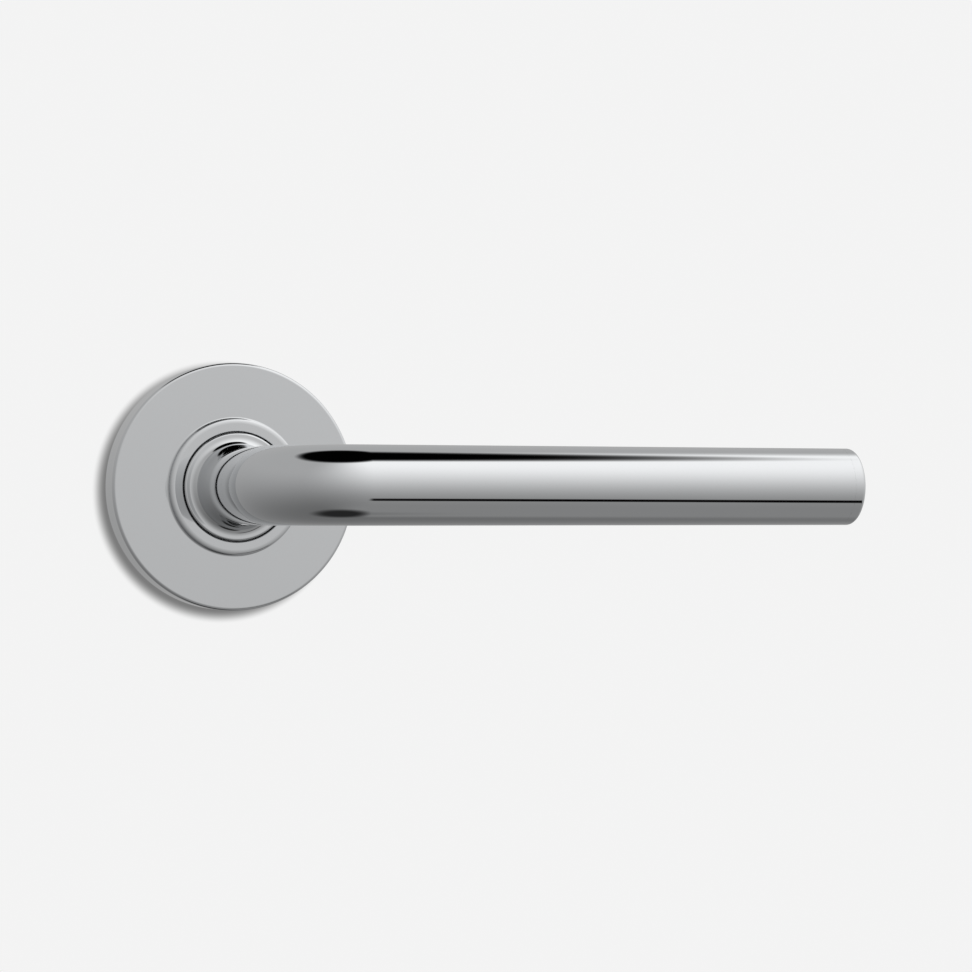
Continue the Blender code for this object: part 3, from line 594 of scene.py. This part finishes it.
def finish(name, colour, roughness, metallic=1.0, grain=400.0, wear=0.05, bump=0.0):
    """A surface whose roughness and colour vary with fine procedural noise."""
    made = bpy.data.materials.new(name)
    made.use_nodes = True
    tree = made.node_tree
    shader = tree.nodes["Principled BSDF"]
    shader.inputs["Metallic"].default_value = metallic
    place = tree.nodes.new("ShaderNodeTexCoord")
    noise = tree.nodes.new("ShaderNodeTexNoise")
    noise.inputs["Scale"].default_value = grain
    noise.inputs["Detail"].default_value = NOISE_DETAIL
    tree.links.new(place.outputs["Object"], noise.inputs["Vector"])
    tint = tree.nodes.new("ShaderNodeMix")
    tint.data_type = "RGBA"
    tint.inputs[6].default_value = (*[c * (1 - wear) for c in colour], 1.0)
    tint.inputs[7].default_value = (*[min(1.0, c * (1 + wear)) for c in colour], 1.0)
    tree.links.new(noise.outputs["Fac"], tint.inputs["Factor"])
    tree.links.new(tint.outputs[2], shader.inputs["Base Color"])
    rough = tree.nodes.new("ShaderNodeMapRange")
    rough.inputs["To Min"].default_value = roughness * (1 - ROUGHNESS_SPREAD)
    rough.inputs["To Max"].default_value = roughness * (1 + ROUGHNESS_SPREAD)
    tree.links.new(noise.outputs["Fac"], rough.inputs["Value"])
    tree.links.new(rough.outputs["Result"], shader.inputs["Roughness"])
    if bump:
        relief = tree.nodes.new("ShaderNodeBump")
        relief.inputs["Strength"].default_value = bump
        relief.inputs["Distance"].default_value = RELIEF_DEPTH
        tree.links.new(noise.outputs["Fac"], relief.inputs["Height"])
        tree.links.new(relief.outputs["Normal"], shader.inputs["Normal"])
    return made


def paint(obj, material):
    obj.data.materials.clear()
    obj.data.materials.append(material)


# ---- studio ----------------------------------------------------------------------------------------------


def linear(display):
    """Linear light of an sRGB display value from 0 to 255."""
    v = display / DISPLAY_WHITE
    return v / 12.92 if v <= 0.04045 else ((v + 0.055) / 1.055) ** 2.4


class Nodes:
    """A small builder of shader nodes, where each call returns the socket that holds its value."""

    def __init__(self, tree):
        self.tree = tree

    def new(self, kind, **settings):
        node = self.tree.nodes.new(kind)
        for key, value in settings.items():
            setattr(node, key, value)
        return node

    def feed(self, socket, value):
        if isinstance(value, bpy.types.NodeSocket):
            self.tree.links.new(value, socket)
        else:
            socket.default_value = value

    def maths(self, operation, *values, clamp=False):
        node = self.new("ShaderNodeMath", operation=operation, use_clamp=clamp)
        for socket, value in zip(node.inputs, values):
            self.feed(socket, value)
        return node.outputs[0]

    def step(self, value, low, high):
        """0 below low, 1 above high, smooth between."""
        node = self.new("ShaderNodeMapRange", interpolation_type="SMOOTHSTEP")
        for socket, given in zip(node.inputs, (value, low, high, 0.0, 1.0)):
            self.feed(socket, given)
        return node.outputs[0]

    def light_of(self, display):
        """Light of a display value, close to the curve of a screen."""
        return self.maths("POWER", self.maths("DIVIDE", display, DISPLAY_WHITE), DISPLAY_POWER)

    def between(self, a, b, share):
        """a where share is 0, b where it is 1."""
        return self.maths("MULTIPLY_ADD", self.maths("SUBTRACT", b, a), share, a)


def studio_light(nodes):
    """Linear light of the studio by direction, before the chrome dims it."""
    way = nodes.new("ShaderNodeTexCoord")
    parts = nodes.new("ShaderNodeSeparateXYZ")
    nodes.feed(parts.inputs[0], way.outputs["Generated"])
    x, y, z = parts.outputs
    degrees = 180 / math.pi
    outwards = nodes.maths("MULTIPLY", y, -1.0)
    bearing = nodes.maths("MULTIPLY", nodes.maths("ARCTAN2", x, outwards), degrees)
    height = nodes.maths("MULTIPLY", nodes.maths("ARCSINE", z), degrees)

    def span(left, right):
        """1 between two soft-edged bearings, 0 outside them."""
        return nodes.maths("SUBTRACT", nodes.step(bearing, *left), nodes.step(bearing, *right))

    shown = nodes.between(WALL_LOW, WALL_HIGH, nodes.step(height, *WALL_RISE))
    light = nodes.between(LIGHT_LOW, LIGHT_HIGH, nodes.step(height, *LIGHT_RISE))
    shown = nodes.between(shown, light, span(LIGHT_LEFT, LIGHT_RIGHT))
    off_flag = nodes.maths("ABSOLUTE", nodes.maths("SUBTRACT", height, FLAG_HEIGHT))
    flag_edge = nodes.step(off_flag, FLAG_HALF - FLAG_SOFT, FLAG_HALF + FLAG_SOFT)
    flag = nodes.maths("SUBTRACT", 1.0, flag_edge)
    shown = nodes.between(shown, FLAG, nodes.maths("MULTIPLY", flag, span(FLAG_LEFT, FLAG_RIGHT)))
    shown = nodes.between(FLOOR, shown, nodes.step(height, *FLOOR_HEIGHT))
    shown = nodes.between(shown, CEILING, nodes.step(height, *CEILING_HEIGHT))
    return nodes.light_of(shown)


def studio_world():
    world = bpy.data.worlds.new("studio")
    bpy.context.scene.world = world
    world.use_nodes = True
    world.node_tree.nodes.clear()
    nodes = Nodes(world.node_tree)
    lit = nodes.new("ShaderNodeBackground")
    nodes.feed(lit.inputs["Color"], studio_light(nodes))
    nodes.feed(lit.inputs["Strength"], 1 / CHROME[1])
    plain = nodes.new("ShaderNodeBackground")
    pale = linear(BACKDROP)
    nodes.feed(plain.inputs["Color"], (pale, pale, pale, 1.0))
    path = nodes.new("ShaderNodeLightPath")
    choose = nodes.new("ShaderNodeMixShader")
    nodes.feed(choose.inputs[0], path.outputs["Is Camera Ray"])
    nodes.feed(choose.inputs[1], lit.outputs[0])
    nodes.feed(choose.inputs[2], plain.outputs[0])
    out = nodes.new("ShaderNodeOutputWorld")
    nodes.feed(out.inputs["Surface"], choose.outputs[0])
    # The flag is narrow, so the map of where the light comes from is a fine one.
    world.cycles.sampling_method = "MANUAL"
    world.cycles.sample_map_resolution = LIGHT_MAP_WIDTH


def door_face():
    """A pale board at the door's face, with the rose's soft shadow painted into its colour, seen from the
    room and not mirrored.
    """
    h, y = BOARD_HALF, BOARD_DEPTH
    corners = [(-h, y, -h), (h, y, -h), (h, y, h), (-h, y, h)]
    board = mesh_object("door_face", corners, [(0, 1, 2, 3)])
    made = bpy.data.materials.new("door_face")
    made.use_nodes = True
    made.node_tree.nodes.clear()
    nodes = Nodes(made.node_tree)
    place = nodes.new("ShaderNodeTexCoord")
    parts = nodes.new("ShaderNodeSeparateXYZ")
    nodes.feed(parts.inputs[0], place.outputs["Object"])
    x = nodes.maths("SUBTRACT", parts.outputs["X"], SHADOW_SHIFT[0])
    z = nodes.maths("SUBTRACT", parts.outputs["Z"], SHADOW_SHIFT[1])
    squares = [nodes.maths("MULTIPLY", v, v) for v in (x, z)]
    reach = nodes.maths("SQRT", nodes.maths("ADD", *squares))
    outside = nodes.maths("DIVIDE", nodes.maths("SUBTRACT", reach, ROSE_RADIUS), MM)
    # Painted shadow: the board's colour darkens within a few millimetres of the rose's rim.
    shown = nodes.between(BACKDROP - SHADOW_DROP, BACKDROP, nodes.step(outside, *SHADOW_EDGE))
    glow = nodes.new("ShaderNodeEmission")
    nodes.feed(glow.inputs["Color"], nodes.light_of(shown))
    clear = nodes.new("ShaderNodeBsdfTransparent")
    side = nodes.new("ShaderNodeNewGeometry")
    mix = nodes.new("ShaderNodeMixShader")
    for socket, value in zip(mix.inputs, (side.outputs["Backfacing"], glow.outputs[0], clear.outputs[0])):
        nodes.feed(socket, value)
    out = nodes.new("ShaderNodeOutputMaterial")
    nodes.feed(out.inputs["Surface"], mix.outputs[0])
    paint(board, made)
    board.visible_glossy = False
    board.visible_diffuse = False
    board.visible_shadow = False


def camera():
    lens = bpy.data.cameras.new("camera")
    lens.lens = LENS
    lens.sensor_width = SENSOR
    lens.clip_start = NEAREST
    made = bpy.data.objects.new("camera", lens)
    bpy.context.scene.collection.objects.link(made)
    made.location = CAMERA_PLACE
    made.rotation_euler = Vector(CAMERA_LOOK).to_track_quat("-Z", "Y").to_euler()
    bpy.context.scene.camera = made


# ---- assembly --------------------------------------------------------------------------------------------

# Colour, roughness, metallic value and noise settings of each finish.
FINISHES = {
    "polished_chrome": (CHROME, 0.03, 1.0, 60.0, 0.01),
    "plated_chrome": (CHROME, 0.04, 1.0, 60.0, 0.01),
    "black_steel": ((0.05, 0.05, 0.055), 0.4),
    "zinc_plate": ((0.62, 0.64, 0.66), 0.3, 1.0, 250.0, 0.08),
    "steel": ((0.52, 0.52, 0.51), 0.28, 1.0, 300.0, 0.08),
    "spring_steel": ((0.36, 0.35, 0.34), 0.32),
    "zinc_casting": ((0.42, 0.43, 0.44), 0.48, 1.0, 900.0, 0.1, 0.3),
    "brass": ((0.72, 0.53, 0.24), 0.3, 1.0, 300.0, 0.1),
    "nylon": ((0.78, 0.76, 0.7), 0.5, 0.0),
    "rubber": ((0.02, 0.02, 0.022), 0.7, 0.0, 700.0, 0.2, 0.3),
}
CARRIED_OVER = {
    "grub_screw": "black_steel", "spindle": "zinc_plate", "spring_driver": "steel", "back_washer": "steel",
    "circlip": "spring_steel", "mounting_plate": "zinc_casting", "bearing_bush": "nylon",
    "thrust_washer": "brass", "return_spring": "spring_steel", "cover_grip_ring": "rubber",
}


def show(piece, body, node, material):
    """Puts a piece in a CAD node's place, on its body."""
    paint(piece, material)
    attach(piece, body)
    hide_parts(node)


def assemble():
    made = {name: finish(name, *values) for name, values in FINISHES.items()}
    show(make_tube(), "lever", "lever_tube", made["polished_chrome"])
    show(make_cap(), "lever", "lever_end_cap", made["polished_chrome"])
    show(make_hub(), "lever", "neck_hub", made["polished_chrome"])
    show(make_rose(), "cover", "rose_cover", made["plated_chrome"])
    for side in ("left", "right"):
        show(make_bolt(side), "rose_base", f"through_bolt_{side}", made["zinc_plate"])
        show(make_sleeve(side), "rose_base", f"bolt_sleeve_{side}", made["zinc_plate"])
    for number in range(1, 5):
        show(make_wood_screw(number), "rose_base", f"wood_screw_{number}", made["brass"])
    for node, worn in CARRIED_OVER.items():
        paint(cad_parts[node], made[worn])


assemble()
studio_world()
door_face()
camera()
bpy.context.scene.view_settings.view_transform = "Standard"
